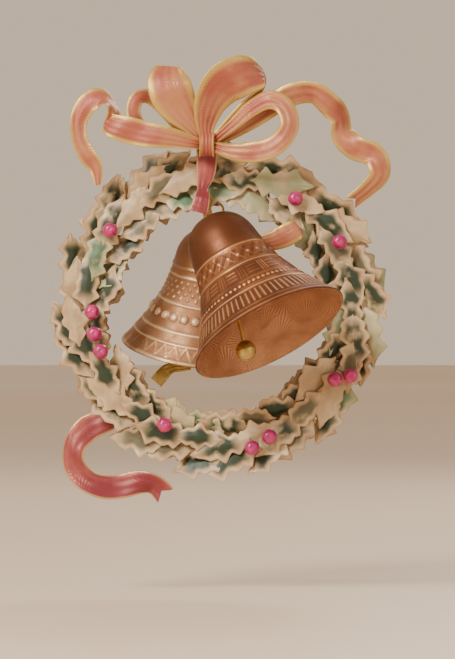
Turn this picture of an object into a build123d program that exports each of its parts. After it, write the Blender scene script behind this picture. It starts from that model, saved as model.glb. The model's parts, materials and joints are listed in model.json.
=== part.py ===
from build123d import *

import os
from math import cos, radians, sin, sqrt

# A hanging bell ornament: a holly wreath on a wire ring, a ribbon bow at its top, and two bells
# with clappers that hang in the opening from a ribbon strap. Millimetres, +Z up, the front faces
# -Y, and the origin is the middle of the hanging eye.

os.makedirs("parts", exist_ok=True)

# ---- wreath frame -------------------------------------------------------------------------------
ring_radius = 84.0
ring_wire_radius = 1.6
tab_width = 10.0
tab_thickness = 1.2
tab_tip = 6.5
eye_radius = 3.0
barrel_inner = 2.0
barrel_outer = 3.2
eye_right = 4.0
eye_up = 93.0
eye_back = barrel_outer - tab_thickness / 2

# ---- holly twigs --------------------------------------------------------------------------------
twig_count = 14
first_twig_angle = 97.4
stem_radius = 1.5
stem_depth = 3.3
stem_start = -16.0
stem_end = 8.0
petiole_radius = 0.8
leaf_thickness = 0.8
leaf_base_depth = 8.0
leaf_pitch = 4.0
leaf_roll = 25.0
leaf_splay = 22.0
leaf_scallop = 0.1
outer_leaf = {"length": 40.0, "half_width": 9.5, "along": -12.0, "out": 4.0}
inner_leaf = {"length": 34.0, "half_width": 8.5, "along": -10.0, "out": -4.0}
wrap_radius = 5.4
wrap_wire_radius = 0.5
wrap_places = (-8.0, 5.0)

# ---- berries: right and up from the ring's centre -----------------------------------------------
berry_radius = 4.8
berry_depth = 20.5
berry_wire_radius = 0.45
berry_wire_bend = 17.0
berry_wire_end = 6.0
berry_picks = {
    "berry_pick_upper_left": [(-69.0, 50.5)],
    "berry_pick_upper_right": [(48.5, 70.5), (76.5, 43.0)],
    "berry_pick_left": [(-80.5, -1.5), (-79.0, -15.5), (-75.0, -26.5)],
    "berry_pick_lower_right": [(73.5, -44.0), (83.5, -42.0)],
    "berry_pick_lower_left": [(-34.5, -73.0)],
    "berry_pick_bottom": [(32.0, -80.5), (21.0, -87.5)],
}

# ---- ribbon strap that carries the bells --------------------------------------------------------
ribbon_thickness = 1.0
strap_width = 13.5
strap_right = -7.7
strap_depth = 22.0
strap_top = 108.0
strap_corner = 8.0
strap_taper_start = 90.0
roll_width = 7.0
roll_inner = 2.4
roll_outer = roll_inner + ribbon_thickness
roll_depth = strap_depth + (roll_inner + roll_outer) / 2

# ---- link rings ---------------------------------------------------------------------------------
link_radius = 5.8
link_wire_radius = 0.8
link_to_pivot = 9.6

# ---- bells --------------------------------------------------------------------------------------
wall = 1.6
crown_flat = 6.0
crown_drop = 9.4
crown_loop_radius = 4.3
crown_loop_wire = 1.1
collar_radius = 4.2
collar_height = 1.4
bolt_radius = 1.6
washer_radius = 4.5
washer_height = 0.8
nut_across_flats = 5.5
nut_height = 2.4
eyelet_radius = 2.6
eyelet_wire = 0.9
clapper_pivot_drop = 20.6
rod_eye_wire = 0.8
rod_eye_drop = 0.8
rod_radius = 1.15

bells = {
    "front": {
        "roll": (-10.2, 73.7, roll_depth),
        "lean": 22.4,
        "tilt": 26.0,
        "mouth_radius": 51.2,
        "height": 86.0,
        "aim": (18.1, -16.0, -73.3),
        "rod_length": 77.2,
        "ball_radius": 6.6,
    },
    "rear": {
        "roll": (-3.1, 70.1, -roll_depth),
        "lean": -14.2,
        "tilt": -8.3,
        "mouth_radius": 48.0,
        "height": 80.0,
        "aim": (-29.0, 20.0, -93.6),
        "rod_length": 68.0,
        "ball_radius": 6.0,
    },
}

centre = Vector(-eye_right, -eye_back, -eye_up)


def place(right, up, depth=0.0):
    """Gives the point that lies right and up of the ring's centre and depth in front of it."""
    return centre + Vector(right, -depth, up)


def front_plane(depth):
    """Gives the plane parallel to the wreath, depth in front of the ring's centre."""
    return Plane(origin=place(0, 0, depth), x_dir=(1, 0, 0), z_dir=(0, -1, 0))


def rod(start, end, radius):
    """Makes a round rod between two points."""
    with BuildPart() as piece:
        with BuildSketch(Plane(origin=start, z_dir=end - start)):
            Circle(radius)
        extrude(amount=(end - start).length)
    return piece.part


# ---- wire ring and hanging tab ------------------------------------------------------------------
with BuildPart(front_plane(0)) as wire_ring:
    Torus(ring_radius, ring_wire_radius)
wire_ring.part.label = "wire_ring"
export_step(wire_ring.part, "parts/wire_ring.step")

barrel_up = (ring_radius + sqrt(ring_radius**2 - (eye_right + tab_width / 2) ** 2)) / 2
tab_height = eye_up + tab_tip - barrel_up
tab_plane = Plane(
    origin=place(eye_right - tab_width / 2, barrel_up), x_dir=(0, 1, 0), z_dir=(1, 0, 0)
)
with BuildPart() as hanger_tab:
    with BuildSketch(tab_plane):
        Circle(barrel_outer)
        with Locations((barrel_outer - tab_thickness / 2, tab_height / 2)):
            Rectangle(tab_thickness, tab_height)
        Circle(barrel_inner, mode=Mode.SUBTRACT)
    extrude(amount=tab_width)
    with BuildSketch(Plane.XZ):
        Circle(eye_radius)
    extrude(amount=barrel_outer, both=True, mode=Mode.SUBTRACT)
    fillet(hanger_tab.edges().filter_by(Axis.Y).group_by(Axis.Z)[-1], tab_width * 0.35)
hanger_tab.part.label = "hanger_tab"
export_step(hanger_tab.part, "parts/hanger_tab.step")


# ---- holly twigs --------------------------------------------------------------------------------
def twig_plane(angle, along=0.0):
    """Gives a twig's plane: x clockwise along the ring, y outward, z to the front."""
    origin = place(ring_radius * cos(radians(angle)), ring_radius * sin(radians(angle)))
    along_ring = Vector(sin(radians(angle)), 0, -cos(radians(angle)))
    return Plane(origin=origin + along_ring * along, x_dir=along_ring, z_dir=(0, -1, 0))


def leaf_blade(plane, length, half_width):
    """Makes a holly leaf: a thin plate whose edge sweeps inward between its spines."""
    spines = [(0, 0), (0.26, 0.62), (0.52, 1.0), (0.78, 0.66), (1, 0)]
    points = [(length * x, half_width * y) for x, y in spines]
    with BuildPart() as blade:
        with BuildSketch(plane):
            with BuildLine():
                for start, end in zip(points, points[1:]):
                    chord = (Vector(*end) - Vector(*start)).length
                    SagittaArc(start, end, -leaf_scallop * chord)
                mirror(about=Plane.XZ)
            make_face()
        extrude(amount=leaf_thickness / 2, both=True)
    return blade.part


def twig(angle, side):
    """Makes one twig, a stem with two leaves, in front of the ring (side 1) or behind it (-1)."""
    plane = twig_plane(angle)
    stem_from = plane.from_local_coords(Vector(stem_start, 0, side * stem_depth))
    stem_to = plane.from_local_coords(Vector(stem_end, 0, side * stem_depth))
    pieces = [rod(stem_from, stem_to, stem_radius)]
    for leaf in (outer_leaf, inner_leaf):
        outward = 1 if leaf["out"] > 0 else -1
        base = Pos(leaf["along"], leaf["out"], side * leaf_base_depth)
        turn = Rot(0, 0, outward * leaf_splay) * Rot(0, -side * leaf_pitch, 0)
        roll = Rot(-side * outward * leaf_roll, 0, 0)
        blade_plane = Plane(plane.location * base * turn * roll)
        pieces.append(leaf_blade(blade_plane, leaf["length"], leaf["half_width"]))
        foot = plane.from_local_coords(Vector(leaf["along"] - 2, 0, side * stem_depth))
        pieces.append(rod(foot, blade_plane.from_local_coords(Vector(1.5, 0, 0)), petiole_radius))
    return pieces


for number in range(twig_count):
    angle = first_twig_angle - number * 360 / twig_count
    front_pieces = twig(angle, 1)
    # The first place has no twig behind it, so that the hanging eye is clear from the back.
    rear_pieces = twig(angle, -1) if number else []
    with BuildPart() as sprig:
        add(front_pieces + rear_pieces)
    name = f"holly_sprig_{number + 1:02d}"
    sprig.part.label = name
    export_step(sprig.part, f"parts/{name}.step")

wraps = []
for number in range(twig_count):
    for along in wrap_places:
        flat = twig_plane(first_twig_angle - number * 360 / twig_count, along)
        sag = -(along**2) / (2 * ring_radius)
        wraps.append(Plane(flat.from_local_coords(Vector(0, sag, 0)), flat.y_dir, flat.x_dir))
with BuildPart(*wraps) as binding_wire:
    Torus(wrap_radius, wrap_wire_radius)
binding_wire.part.label = "binding_wire"
export_step(binding_wire.part, "parts/binding_wire.step")

# ---- berries ------------------------------------------------------------------------------------
for name, berries in berry_picks.items():
    pick_pieces = []
    for right, up in berries:
        outward = ring_radius / sqrt(right**2 + up**2)
        knee = place(right * outward, up * outward, berry_wire_bend)
        heel = place(right * outward, up * outward, berry_wire_end)
        pick_pieces.append(rod(place(right, up, berry_depth), knee, berry_wire_radius))
        pick_pieces.append(rod(knee, heel, berry_wire_radius))
        with BuildPart(Plane(place(right, up, berry_depth))) as berry:
            Sphere(berry_radius)
        with BuildPart(Plane(knee)) as elbow:
            Sphere(berry_wire_radius)
        pick_pieces += [berry.part, elbow.part]
    with BuildPart() as pick:
        add(pick_pieces)
    pick.part.label = name
    export_step(pick.part, f"parts/{name}.step")


# ---- bow, tails and loops of ribbon -------------------------------------------------------------
def ribbon_plate(outline, depth, thickness=ribbon_thickness, hole=None):
    """Makes a flat ribbon piece with a smooth outline, parallel to the wreath."""
    with BuildPart() as plate:
        with BuildSketch(front_plane(depth)):
            with BuildLine():
                Spline(*outline, periodic=True)
            make_face()
            if hole:
                with BuildLine():
                    Spline(*hole, periodic=True)
                make_face(mode=Mode.SUBTRACT)
        extrude(amount=thickness)
    return plate.part


def ribbon_strip(path, width, depth):
    """Makes a flat ribbon piece of constant width along a path, parallel to the wreath."""
    with BuildPart() as strip:
        with BuildSketch(front_plane(depth)):
            with BuildLine() as middle:
                Polyline(*path)
            trace(middle.line, line_width=width)
        extrude(amount=ribbon_thickness)
    return strip.part


def ribbon_runs(points, width):
    """Makes straight runs of ribbon between points, each given as (right, up, depth)."""
    runs = []
    for start, end in zip(points, points[1:]):
        run = place(*end) - place(*start)
        across = run.cross(Vector(0, 1, 0))
        with BuildPart() as strip:
            with BuildSketch(Plane(place(*start), across, run)):
                Rectangle(width, ribbon_thickness)
            extrude(amount=run.length)
        runs.append(strip.part)
    return runs


def folded_loop(outline, depth, gap, slot_from, slot_to):
    """Makes a bow loop: two layers of ribbon, gap apart, that meet past slot_to, at its end."""
    whole = ribbon_plate(outline, depth, gap + 2 * ribbon_thickness)
    run = Vector(*slot_to) - Vector(*slot_from)
    slot_plane = front_plane(depth + ribbon_thickness)
    middle = (Vector(*slot_from) + Vector(*slot_to)) * 0.5
    angle = Vector(1, 0).get_signed_angle(run, Vector(0, 0, 1))
    with BuildPart() as slot:
        with BuildSketch(slot_plane):
            with Locations(Location((middle.X, middle.Y, 0), (0, 0, angle))):
                Rectangle(run.length, 3 * strap_width * 2)
        extrude(amount=gap)
    with BuildPart() as loop:
        add(whole)
        add(slot.part, mode=Mode.SUBTRACT)
    return loop.part


knot = (-7.7, 104.3)
bow_depth = 27.5
loop_gap = 6.0
upper_left_outline = [
    (-14, 106), (-27, 118), (-42, 130), (-45, 142), (-36, 155), (-24, 154), (-17, 138), (-13, 120),
]
upper_right_outline = [
    (-5, 107), (-12, 122), (-12, 138), (-3, 152), (14, 160), (29, 158), (31, 148), (17, 137), (3, 121),
]
left_outline = [
    (-13, 106), (-32, 117), (-55, 122), (-70, 122), (-73, 114), (-60, 106), (-38, 102), (-15, 101),
]
lower_right_outline = [
    (-2, 103), (18, 95), (40, 99), (48, 116), (42, 133), (31, 137), (14, 128), (1, 112),
]
lower_right_hole = [(14, 112), (26, 124), (37, 123), (38, 112), (26, 106)]
tail_left_path = [
    (-70, 113), (-66, 124), (-71, 134), (-82, 133), (-88, 122), (-86, 106), (-79, 94), (-77, 79),
]
tail_right_path = [
    (44, 136), (55, 142), (68, 138), (76, 128), (80, 112), (92, 104), (101, 91), (96, 77), (84, 66),
]
sash_path = [
    (-64, -66), (-80, -73), (-92, -84), (-93, -98), (-84, -109), (-68, -113), (-52, -109), (-40, -115),
]
tucked_width = 7.0
tucked_path = [(-9, 71, 20.9), (-3, 51, 14), (24, 44.5, 14), (33, 44, 18)]
tucked_outline = [(24, 48), (39, 54), (50, 51), (52, 42), (44, 35), (28, 40)]

ribbon_pieces = {
    "bow_loop_upper_left": [
        folded_loop(upper_left_outline, bow_depth, loop_gap, (-2, 92), (-39, 151))
    ],
    "bow_loop_upper_right": [
        folded_loop(upper_right_outline, bow_depth, loop_gap, (-10, 95), (24, 153))
    ],
    "bow_loop_left": [folded_loop(left_outline, bow_depth + 9.0, loop_gap / 2, (0, 100), (-70, 118))],
    "bow_loop_lower_right": [
        ribbon_plate(lower_right_outline, bow_depth + 9.0, ribbon_thickness * 4, lower_right_hole)
    ],
    "bow_tail_left": [ribbon_strip(tail_left_path, 8.0, bow_depth)],
    "bow_tail_right": [ribbon_strip(tail_right_path, 10.0, bow_depth)],
    "sash_tail": [ribbon_strip(sash_path, 14.0, -ribbon_thickness / 2)],
    "tucked_loop": [
        *ribbon_runs(tucked_path, tucked_width),
        ribbon_plate(tucked_outline, strap_depth - 5.6, 3.0 + ribbon_thickness),
    ],
}
for name, pieces in ribbon_pieces.items():
    with BuildPart() as ribbon:
        add(pieces)
    ribbon.part.label = name
    export_step(ribbon.part, f"parts/{name}.step")

knot_back = strap_depth + ribbon_thickness / 2 + 0.2
with BuildPart() as bow_knot:
    with BuildSketch(front_plane(knot_back)):
        with Locations(knot):
            RectangleRounded(9.0, 15.0, 3.0)
    extrude(amount=bow_depth + 12.5 - knot_back)
    for name, pieces in ribbon_pieces.items():
        if name.startswith("bow_loop"):
            add(pieces, mode=Mode.SUBTRACT)
bow_knot.part.label = "bow_knot"
export_step(bow_knot.part, "parts/bow_knot.step")

# ---- the strap that the bells hang from ---------------------------------------------------------
strap_plane = Plane(place(strap_right - strap_width / 2, 0), (0, 1, 0), (1, 0, 0))
bridge_path = [
    (-strap_depth, strap_taper_start),
    (-strap_depth, strap_top),
    (strap_depth, strap_top),
    (strap_depth, strap_taper_start),
]
with BuildPart() as hanging_strap:
    with BuildSketch(strap_plane):
        with BuildLine() as bridge:
            FilletPolyline(*bridge_path, radius=strap_corner)
        trace(bridge.line, line_width=ribbon_thickness)
    extrude(amount=strap_width)
    for bell in bells.values():
        right, up, depth = bell["roll"]
        side = 1 if depth > 0 else -1
        half_top, half_roll = strap_width / 2, roll_width / 2
        with BuildSketch(front_plane(side * strap_depth)):
            with BuildLine():
                Polyline(
                    (strap_right - half_top, strap_taper_start + 0.5),
                    (strap_right + half_top, strap_taper_start + 0.5),
                    (right + half_roll, up),
                    (right - half_roll, up),
                    close=True,
                )
            make_face()
        extrude(amount=ribbon_thickness / 2, both=True)
        with BuildSketch(Plane(place(right - half_roll, up, depth), (0, 1, 0), (1, 0, 0))):
            Circle(roll_outer)
            Circle(roll_inner, mode=Mode.SUBTRACT)
        extrude(amount=roll_width)
hanging_strap.part.label = "hanging_strap"
export_step(hanging_strap.part, "parts/hanging_strap.step")


# ---- bells --------------------------------------------------------------------------------------
def bell_curve(mouth_radius, height):
    """Gives the bell's outer profile above its lip, as (radius, height above the mouth) points."""
    return [
        (mouth_radius, 0.0),
        (mouth_radius * 0.82, height * 0.16),
        (mouth_radius * 0.62, height * 0.38),
        (mouth_radius * 0.50, height * 0.57),
        (mouth_radius * 0.45, height * 0.74),
    ]


for which, bell in bells.items():
    roll = place(*bell["roll"])
    lean, tilt = radians(bell["lean"]), radians(bell["tilt"])
    link_down = Vector(0, -sin(lean), -cos(lean))
    link_normal = Vector(0, cos(lean), -sin(lean))
    down = link_down * cos(tilt) + Vector(sin(tilt), 0, 0)
    pivot = roll + link_down * link_to_pivot

    # The link ring hangs in the strap's rolled end and turns about the roll.
    with BuildPart(Plane(roll + link_down * link_radius, (1, 0, 0), link_normal)) as link:
        Torus(link_radius, link_wire_radius)
    link.part.label = f"{which}_link_ring"
    export_step(link.part, f"parts/{which}_link_ring.step")

    # The bell's own plane has its z up the bell's axis and its origin in the crown loop's top wire.
    across = link_normal.cross(down)
    upright = Plane(pivot, across, -down)
    section = Plane(pivot, across, -upright.y_dir)
    axis = Axis(pivot, down)
    mouth_radius, height = bell["mouth_radius"], bell["height"]
    mouth_level = -crown_drop - height
    skin = [(r, mouth_level + h) for r, h in bell_curve(mouth_radius, height)]
    crown = (crown_flat, -crown_drop)
    with BuildPart() as shell:
        with BuildSketch(section):
            with BuildLine():
                Spline(*skin, crown, tangents=[(-0.7, 0.7), (-1, 0)])
                Polyline(crown, (0, -crown_drop), (0, mouth_level), skin[0])
            make_face()
        revolve(axis=axis)
        mouth = shell.faces().filter_by(GeomType.PLANE).sort_by(Axis(pivot, down))[-1]
        offset(amount=-wall, openings=mouth)
        with BuildSketch(Plane(pivot - upright.z_dir * crown_drop, across, -down)):
            Circle(bolt_radius)
        extrude(amount=wall * 3, both=True, mode=Mode.SUBTRACT)
    shell.part.label = f"{which}_bell_shell"
    export_step(shell.part, f"parts/{which}_bell_shell.step")

    # Hanger bolt: crown loop, collar, shank and, inside the bell, the eyelet of the clapper.
    aim = Vector(*bell["aim"]).normalized()
    hinge = down.cross(aim).normalized()
    clapper_pivot = pivot + down * clapper_pivot_drop
    shank_end = clapper_pivot_drop - 2 * eyelet_radius
    with BuildPart(Plane(pivot + down * crown_loop_radius, link_normal, across)) as crown_loop:
        Torus(crown_loop_radius, crown_loop_wire)
    eyelet_centre = clapper_pivot - down * eyelet_radius
    with BuildPart(Plane(eyelet_centre, hinge, down.cross(hinge))) as eyelet:
        Torus(eyelet_radius, eyelet_wire)
    bolt_pieces = [
        crown_loop.part,
        eyelet.part,
        rod(pivot + down * (crown_drop - collar_height), pivot + down * crown_drop, collar_radius),
        rod(pivot + down * crown_drop, pivot + down * shank_end, bolt_radius),
    ]
    with BuildPart() as hanger_bolt:
        add(bolt_pieces)
    hanger_bolt.part.label = f"{which}_hanger_bolt"
    export_step(hanger_bolt.part, f"parts/{which}_hanger_bolt.step")

    inner_crown = crown_drop + wall
    with BuildPart() as washer:
        with BuildSketch(Plane(pivot + down * inner_crown, across, down)):
            Circle(washer_radius)
            Circle(bolt_radius, mode=Mode.SUBTRACT)
        extrude(amount=washer_height)
    washer.part.label = f"{which}_washer"
    export_step(washer.part, f"parts/{which}_washer.step")

    with BuildPart() as nut:
        with BuildSketch(Plane(pivot + down * (inner_crown + washer_height), across, down)):
            RegularPolygon(nut_across_flats / 2, 6, major_radius=False)
            Circle(bolt_radius, mode=Mode.SUBTRACT)
        extrude(amount=nut_height)
    nut.part.label = f"{which}_nut"
    export_step(nut.part, f"parts/{which}_nut.step")

    # Clapper: the rod's eye hangs in the eyelet, and the ball is pressed on the rod's end.
    ball_centre = clapper_pivot + aim * bell["rod_length"]
    rod_top = clapper_pivot + aim * (rod_eye_drop + eyelet_radius)
    with BuildPart(Plane(clapper_pivot + aim * rod_eye_drop, aim, hinge)) as rod_eye:
        Torus(eyelet_radius, rod_eye_wire)
    rod_pieces = [rod_eye.part, rod(rod_top, ball_centre, rod_radius)]
    with BuildPart() as clapper_rod:
        add(rod_pieces)
    clapper_rod.part.label = f"{which}_clapper_rod"
    export_step(clapper_rod.part, f"parts/{which}_clapper_rod.step")

    rod_hole = rod(rod_top, ball_centre, rod_radius)
    with BuildPart() as clapper_ball:
        with Locations(Location(ball_centre)):
            Sphere(bell["ball_radius"])
        add(rod_hole, mode=Mode.SUBTRACT)
    clapper_ball.part.label = f"{which}_clapper_ball"
    export_step(clapper_ball.part, f"parts/{which}_clapper_ball.step")
    bell["ball_centre"] = ball_centre

# ---- strap end that lies over the front link ring -----------------------------------------------
flap_width = 11.0
flap_right = -1.3
flap_profile = [(4.3, 0.5), (6.4, 6.0), (6.4, 17.0)]
front_roll = place(*bells["front"]["roll"])
front_lean = radians(bells["front"]["lean"])
toward_viewer = Vector(0, -cos(front_lean), sin(front_lean))
flap_origin = front_roll + Vector(flap_right - flap_width / 2, 0, 0)
flap_plane = Plane(flap_origin, toward_viewer, (1, 0, 0))
with BuildPart() as strap_flap:
    with BuildSketch(flap_plane):
        with BuildLine() as flap_line:
            Polyline(*flap_profile)
        trace(flap_line.line, line_width=ribbon_thickness)
    extrude(amount=flap_width)
strap_flap.part.label = "strap_flap"
export_step(strap_flap.part, "parts/strap_flap.step")

# ---- gilt tab under the rear clapper ------------------------------------------------------------
tab_outline = [
    (-35.7, -34.8), (-17.4, -33.9), (-17.7, -38.1), (-24.0, -41.6),
    (-30.4, -39.6), (-37.8, -49.3), (-45.4, -45.3),
]
ball = bells["rear"]["ball_centre"]
tab_depth = centre.Y - ball.Y
link_rod = rod(ball, Vector(ball.X, ball.Y, place(0, -36.0).Z), petiole_radius)
with BuildPart() as clapper_tab:
    with BuildSketch(front_plane(tab_depth - ribbon_thickness / 2)):
        with BuildLine():
            Polyline(*tab_outline, close=True)
        make_face()
    extrude(amount=ribbon_thickness)
    add(link_rod)
    with Locations(Location(ball)):
        Sphere(bells["rear"]["ball_radius"], mode=Mode.SUBTRACT)
clapper_tab.part.label = "rear_clapper_tab"
export_step(clapper_tab.part, "parts/rear_clapper_tab.step")
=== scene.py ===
"""Dresses the hanging bell ornament: embossed bells, holly wreath, berries and satin ribbons."""
import json
import logging
import math
import random
from dataclasses import dataclass, field
from enum import Enum
from typing import Callable, Sequence

import bpy
from mathutils import Matrix, Vector


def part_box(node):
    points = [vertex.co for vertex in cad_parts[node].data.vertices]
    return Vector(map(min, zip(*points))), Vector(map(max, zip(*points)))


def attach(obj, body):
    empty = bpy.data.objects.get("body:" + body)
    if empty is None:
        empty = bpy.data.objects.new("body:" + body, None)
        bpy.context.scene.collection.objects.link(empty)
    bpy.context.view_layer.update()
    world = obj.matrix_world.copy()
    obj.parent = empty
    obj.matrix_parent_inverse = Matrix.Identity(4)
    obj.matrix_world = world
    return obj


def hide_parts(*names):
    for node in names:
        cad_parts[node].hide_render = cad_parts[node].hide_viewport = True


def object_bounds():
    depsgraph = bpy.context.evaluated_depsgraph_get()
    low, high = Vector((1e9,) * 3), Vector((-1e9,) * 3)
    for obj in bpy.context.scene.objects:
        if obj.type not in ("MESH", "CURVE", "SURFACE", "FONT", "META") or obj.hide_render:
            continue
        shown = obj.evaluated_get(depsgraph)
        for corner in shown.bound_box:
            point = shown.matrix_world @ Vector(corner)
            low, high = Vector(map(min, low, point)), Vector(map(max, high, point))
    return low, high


LOG = logging.getLogger("bell_ornament")
MM = 0.001
SEED = 1907
FINE_RELIEF = 0.4 * MM
Colour = tuple[float, float, float]
Station = tuple[float, float, float, float, float]
Pattern = Callable[[float, float, float], float]
Material = bpy.types.Material
Node = bpy.types.Node
Piece = bpy.types.Object
Socket = bpy.types.NodeSocket
Tree = bpy.types.NodeTree

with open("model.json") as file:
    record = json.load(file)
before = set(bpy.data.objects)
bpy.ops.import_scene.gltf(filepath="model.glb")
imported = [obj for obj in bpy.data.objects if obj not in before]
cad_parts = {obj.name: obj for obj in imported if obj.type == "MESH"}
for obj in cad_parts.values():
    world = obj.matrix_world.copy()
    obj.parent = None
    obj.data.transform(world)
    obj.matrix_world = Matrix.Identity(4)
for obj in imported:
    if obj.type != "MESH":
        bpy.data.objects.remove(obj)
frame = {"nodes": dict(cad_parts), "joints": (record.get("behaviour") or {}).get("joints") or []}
CAD_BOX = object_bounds()
JOINTS = {joint["name"]: Vector(joint["pos_m"]) for joint in frame["joints"]}


class Side(Enum):
    """Which of the two bells, by where it hangs."""

    FRONT = "front"
    REAR = "rear"


class Hold(Enum):
    """How a ribbon is held."""

    GATHERED = "gathered"
    HUNG = "hung"
    DRAPED = "draped"
    FOLDED = "folded"


# ---- shader helpers -----------------------------------------------------------------------------
class Nodes:
    """A node tree with short ways to add, feed and combine its nodes."""

    def __init__(self, tree: Tree) -> None:
        """Works on the given tree."""
        self.tree = tree

    def feed(self, value: Socket | Colour | float, target: Socket) -> None:
        """Joins a socket to an input, or sets the input to a colour or a number.

        Args:
            value: What goes in.
            target: The input socket.
        """
        if isinstance(value, Socket):
            self.tree.links.new(value, target)
        else:
            target.default_value = (*value, 1.0) if isinstance(value, tuple) else value

    def node(
        self, kind: str, inputs: dict[str | int, Socket | Colour | float], **settings: object
    ) -> Node:
        """Adds a shader node.

        Args:
            kind: The node's type name after its ShaderNode.
            inputs: What goes into its inputs, by name or place.
            **settings: Properties to set on it.

        Returns:
            The new node.
        """
        made = self.tree.nodes.new(f"ShaderNode{kind}")
        for key, value in settings.items():
            setattr(made, key, value)
        for key, value in inputs.items():
            self.feed(value, made.inputs[key])
        return made

    def math(self, operation: str, *values: Socket | float) -> Socket:
        """Works out one number from others by Blender's named operation."""
        return self.node("Math", dict(enumerate(values)), operation=operation).outputs[0]

    def times(self, *values: Socket) -> Socket:
        """Multiplies sockets together.

        Args:
            *values: The sockets.

        Returns:
            Their product's socket.
        """
        product, *others = values
        for value in others:
            product = self.math("MULTIPLY", product, value)
        return product


class Shader(Nodes):
    """A material with its Principled shader and the masks and mixes that feed it."""

    def __init__(self, name: str) -> None:
        """Starts a node material.

        Args:
            name: The material's name.
        """
        self.material = bpy.data.materials.new(name)
        self.material.use_nodes = True
        super().__init__(self.material.node_tree)

    def group(self, tree: Tree, **values: float) -> Node:
        """Places a shared node group.

        Args:
            tree: The group.
            **values: Input values, by socket name with underscores for spaces.

        Returns:
            The group node.
        """
        inputs = {key.replace("_", " "): value for key, value in values.items()}
        return self.node("Group", inputs, node_tree=tree)

    def mix(self, mask: Socket, low: Socket | Colour, high: Socket | Colour) -> Socket:
        """Mixes two colours, each a colour or a socket, by a mask.

        Args:
            mask: The socket that picks between them.
            low: What shows where the mask is 0.
            high: What shows where the mask is 1.

        Returns:
            The mixed colour's socket.
        """
        return self.node("Mix", {"Factor": mask, 6: low, 7: high}, data_type="RGBA").outputs[2]

    def span(self, value: Socket, start: float, end: float, low: float, high: float) -> Socket:
        """Maps a value smoothly from one span to another.

        Args:
            value: The socket to map.
            start: The value that gives low.
            end: The value that gives high.
            low: Result at start.
            high: Result at end.

        Returns:
            The mapped value's socket.
        """
        inputs = {"Value": value, "From Min": start, "From Max": end, "To Min": low, "To Max": high}
        return self.node("MapRange", inputs, interpolation_type="SMOOTHSTEP").outputs["Result"]

    def attribute(self, name: str) -> Socket:
        """Reads a number painted on the mesh."""
        return self.node("Attribute", {}, attribute_name=name).outputs["Fac"]

    def uv(self) -> tuple[Socket, Socket]:
        """Gives the piece's own u and v."""
        split = self.node("SeparateXYZ", {0: self.node("UVMap", {}, uv_map="UVMap").outputs["UV"]})
        return split.outputs["X"], split.outputs["Y"]

    def finish(self, inputs: dict[str, Socket | Colour | float]) -> Material:
        """Feeds the Principled shader.

        Args:
            inputs: What goes into its inputs, by name.

        Returns:
            The finished material.
        """
        for key, value in inputs.items():
            self.feed(value, self.tree.nodes["Principled BSDF"].inputs[key])
        return self.material


class SharedGroup(Nodes):
    """A shader node group with named inputs and outputs."""

    def __init__(self, name: str, inputs: dict[str, float], outputs: dict[str, str]) -> None:
        """Starts the group with its sockets.

        Args:
            name: The group's name.
            inputs: Input values by name.
            outputs: The kind of each output, Float or Vector, by name.
        """
        super().__init__(bpy.data.node_groups.new(name, "ShaderNodeTree"))
        new_socket = self.tree.interface.new_socket
        for key, value in inputs.items():
            socket = new_socket(name=key, in_out="INPUT", socket_type="NodeSocketFloat")
            socket.default_value = value
        for key, kind in outputs.items():
            new_socket(name=key, in_out="OUTPUT", socket_type=f"NodeSocket{kind}")
        self.given = self.tree.nodes.new("NodeGroupInput").outputs
        self.result = self.tree.nodes.new("NodeGroupOutput").inputs

    def spot(self) -> Socket:
        """Gives the place on the piece."""
        return self.node("TexCoord", {}).outputs["Object"]

    def relief(self, height: Socket) -> None:
        """Puts out the normal of a fine relief of the given height and the group's Depth."""
        inputs = {"Height": height, "Strength": self.given["Depth"], "Distance": FINE_RELIEF}
        self.feed(self.node("Bump", inputs).outputs["Normal"], self.result["Normal"])


def grain_group() -> Tree:
    """Builds the shared grain: a mottled mask and a fine uneven surface.

    Returns:
        The group, with inputs Mottle Size, Grain Size and Depth and outputs Mottle and Normal.
    """
    group = SharedGroup(
        "surface_grain",
        {"Mottle Size": 60.0, "Grain Size": 900.0, "Depth": 0.2},
        {"Mottle": "Float", "Normal": "Vector"},
    )
    spot = group.spot()
    mottle, grain = (
        group.node("TexNoise", {"Vector": spot, "Scale": group.given[size], "Detail": detail})
        for size, detail in (("Mottle Size", 5.0), ("Grain Size", 3.0))
    )
    group.feed(mottle.outputs["Fac"], group.result["Mottle"])
    group.relief(grain.outputs["Fac"])
    return group.tree


def ray_group() -> Tree:
    """Builds the shared pressed rays: fans of fine lines that run out from scattered centres.

    Returns:
        The group, with inputs Fan Size, Lines and Depth and output Normal.
    """
    group = SharedGroup(
        "pressed_rays", {"Fan Size": 55.0, "Lines": 22.0, "Depth": 0.3}, {"Normal": "Vector"}
    )
    spot = group.spot()
    fans = group.node("TexVoronoi", {"Vector": spot, "Scale": group.given["Fan Size"]})
    away = group.node("VectorMath", {0: spot, 1: fans.outputs["Position"]}, operation="SUBTRACT")
    split = group.node("SeparateXYZ", {0: away.outputs["Vector"]})
    turn = group.math("ARCTAN2", split.outputs["Z"], split.outputs["X"])
    group.relief(group.math("SINE", group.times(turn, group.given["Lines"])))
    return group.tree


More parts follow.
